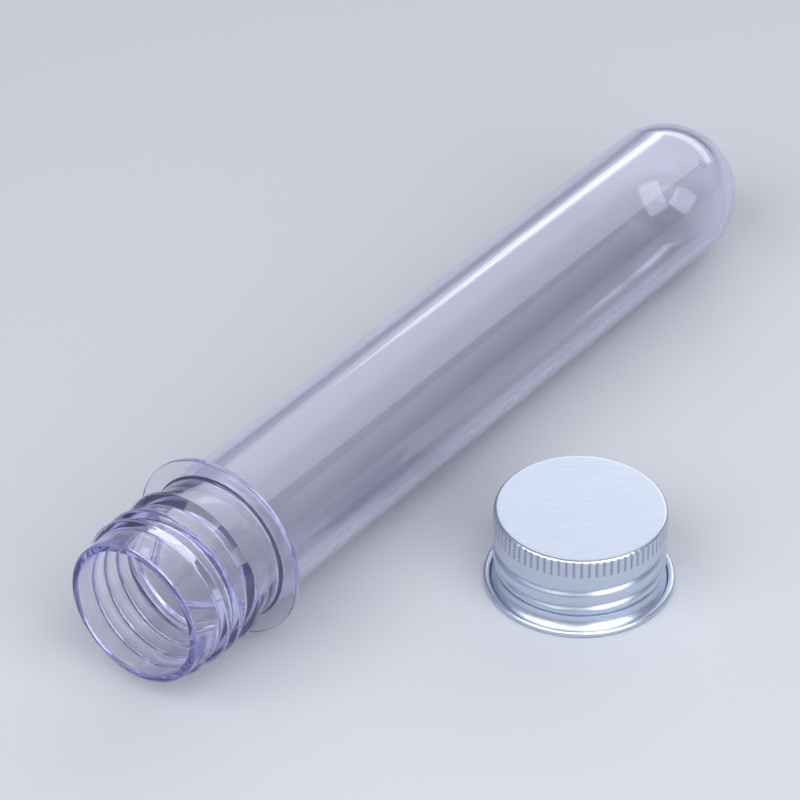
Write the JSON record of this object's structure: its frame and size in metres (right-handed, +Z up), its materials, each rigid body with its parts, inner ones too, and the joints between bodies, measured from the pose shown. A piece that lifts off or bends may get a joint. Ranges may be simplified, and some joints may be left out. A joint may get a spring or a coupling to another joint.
{
  "type": "plastic test tube",
  "caption": "Clear plastic screw-neck test tube lying on its side, with its aluminium screw cap taken off and standing beside it.",
  "frame": {"origin": "on the bench, under the middle of the bounding box of the tube and its cap", "axes": "+X along the lying tube from its mouth towards its round end, +Z up, cap on the -Y side"},
  "size_m": [0.1714, 0.075, 0.033],
  "materials": {
    "clear_plastic": "clear moulded PET, polished, faint blue-violet tint",
    "aluminium": "satin lacquered aluminium sheet",
    "foam_liner": "matt white expanded polyethylene"
  },
  "bodies": {
    "root": {"test_tube": "clear_plastic", "cap_shell": "aluminium", "cap_liner": "foam_liner"}
  },
  "joints": []
}
